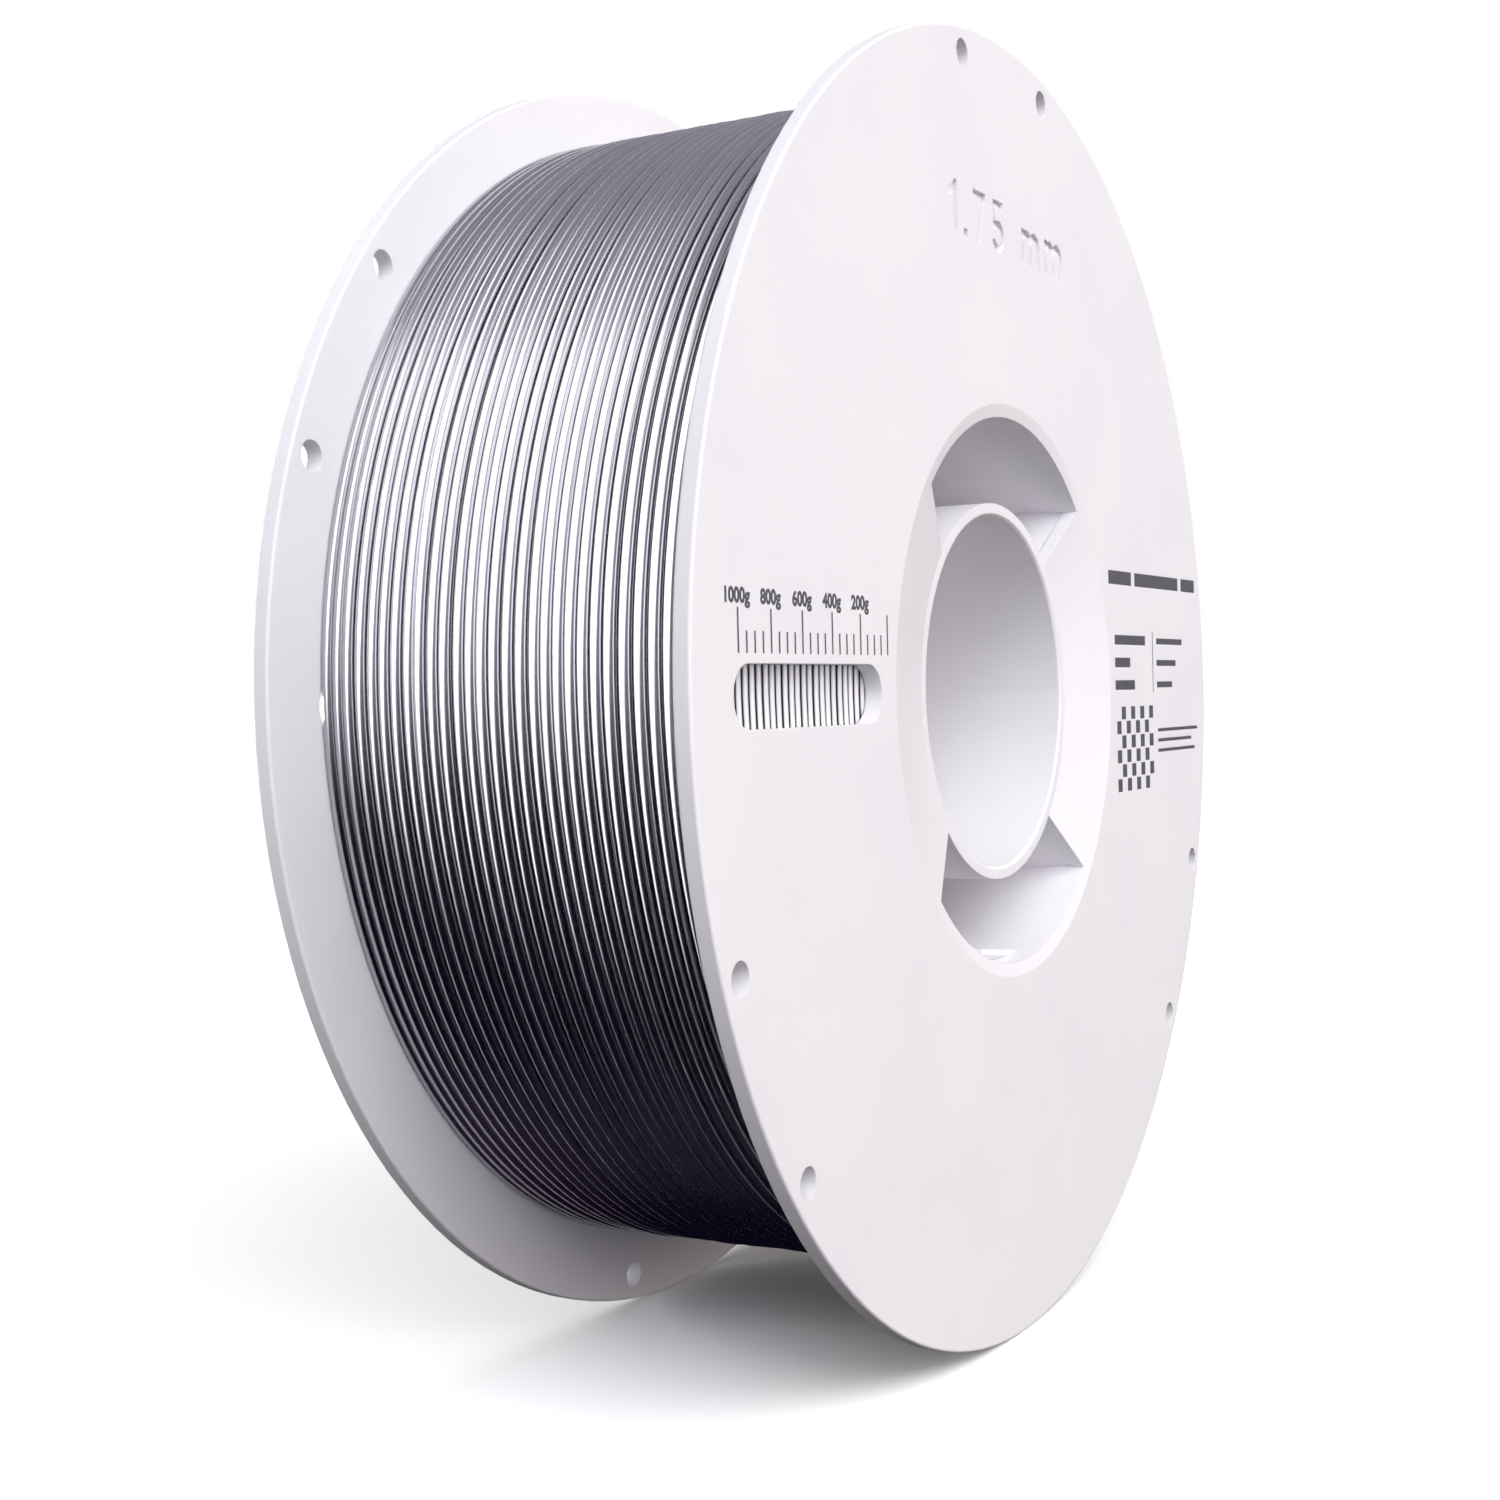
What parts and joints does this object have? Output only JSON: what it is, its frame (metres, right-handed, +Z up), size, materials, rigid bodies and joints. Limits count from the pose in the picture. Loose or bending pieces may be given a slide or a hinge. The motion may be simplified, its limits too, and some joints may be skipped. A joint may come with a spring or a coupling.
{
  "type": "filament spool",
  "caption": "Full plastic filament spool: moulded halves with flat flanges, dished hub with pockets and a wide bore, sight slots and rim holes, wound with silver strand.",
  "frame": {"origin": "centre of the bore, midway between the two flanges' outer faces", "axes": "+Y along the bore axis, from the printed front face towards the rear face; +Z up; -X towards the sight slots"},
  "size_m": [0.2, 0.0676, 0.2],
  "materials": {
    "white_plastic": "injection moulded white plastic, satin, fine moulded texture",
    "silver_strand": "silver silk filament with a metallic sheen along the strand",
    "print_ink": "dark grey printed foil"
  },
  "bodies": {
    "root": {"front_half": "white_plastic", "rear_half": "white_plastic", "filament_winding": "silver_strand", "filament_start": "silver_strand", "filament_free_end": "silver_strand", "weight_scale": "print_ink", "info_print": "print_ink"}
  },
  "joints": []
}
